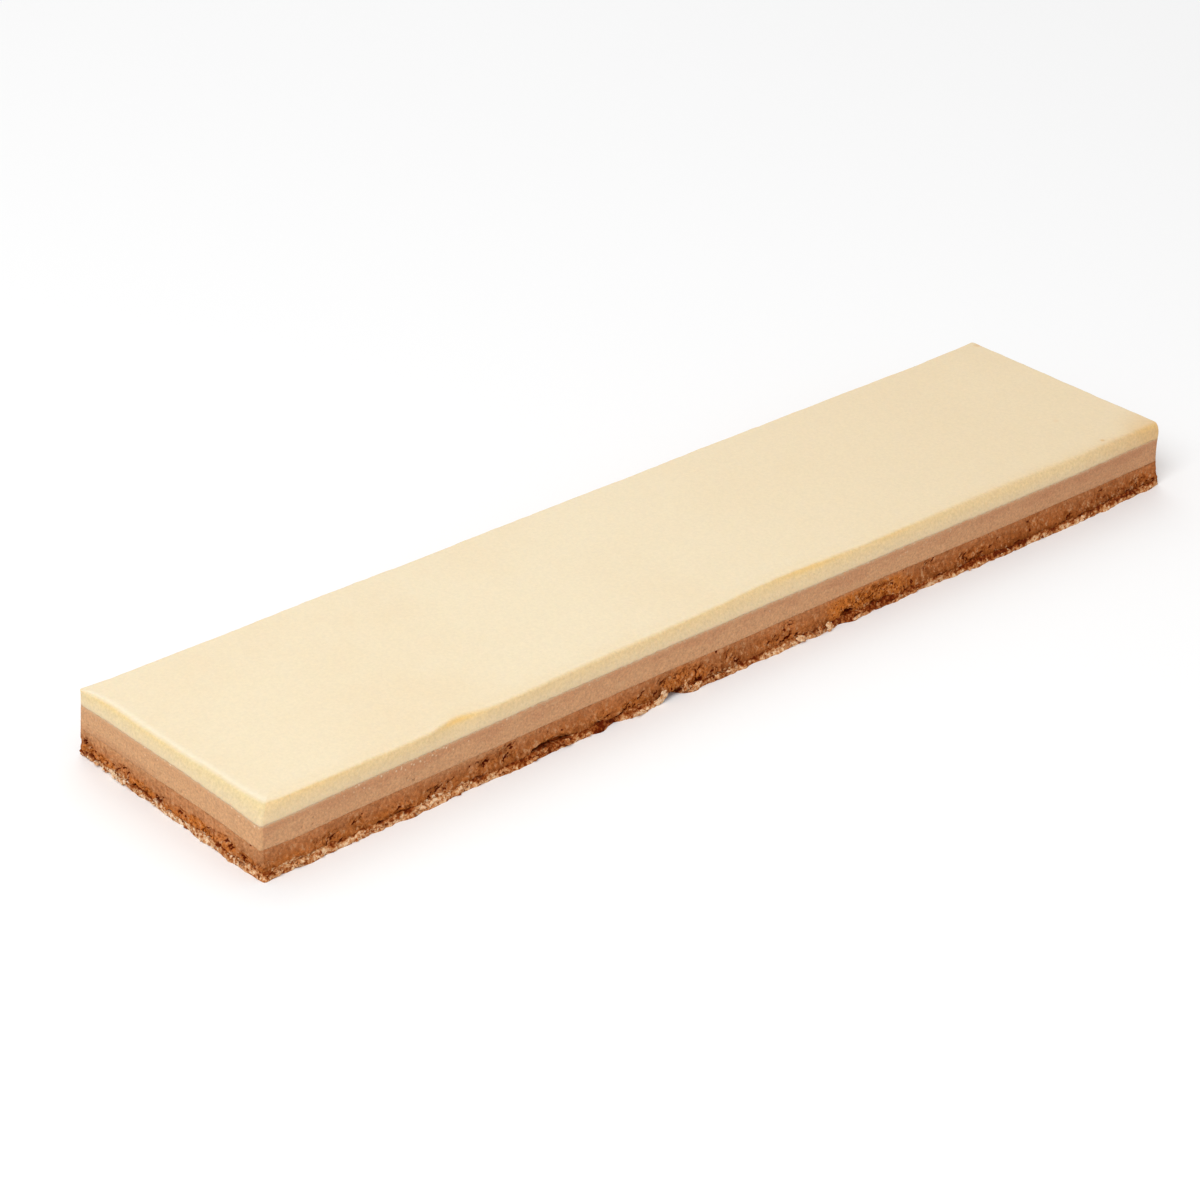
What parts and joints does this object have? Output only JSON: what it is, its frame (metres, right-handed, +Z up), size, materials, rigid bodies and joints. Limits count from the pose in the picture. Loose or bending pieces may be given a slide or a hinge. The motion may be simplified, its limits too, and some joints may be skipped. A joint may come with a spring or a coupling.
{
  "type": "semifreddo cake",
  "caption": "Long flat strip of layered semifreddo cake: torn sponge base, dark and milk chocolate layers and a smooth vanilla cream top with softly rounded edges.",
  "frame": {"origin": "on the resting plane, under the middle of the cake", "axes": "+X along the strip, +Y from the front long face to the back one, +Z up"},
  "size_m": [0.5843, 0.1385, 0.035],
  "materials": {
    "sponge": "torn, crumbly sponge",
    "dark_chocolate": "knife-cut frozen mousse, torn in places",
    "milk_chocolate": "fine-pored knife-cut mousse",
    "cream": "smooth satin cream"
  },
  "bodies": {
    "root": {"sponge_base": "sponge", "dark_layer": "dark_chocolate", "milk_layer": "milk_chocolate", "cream_layer": "cream"}
  },
  "joints": []
}
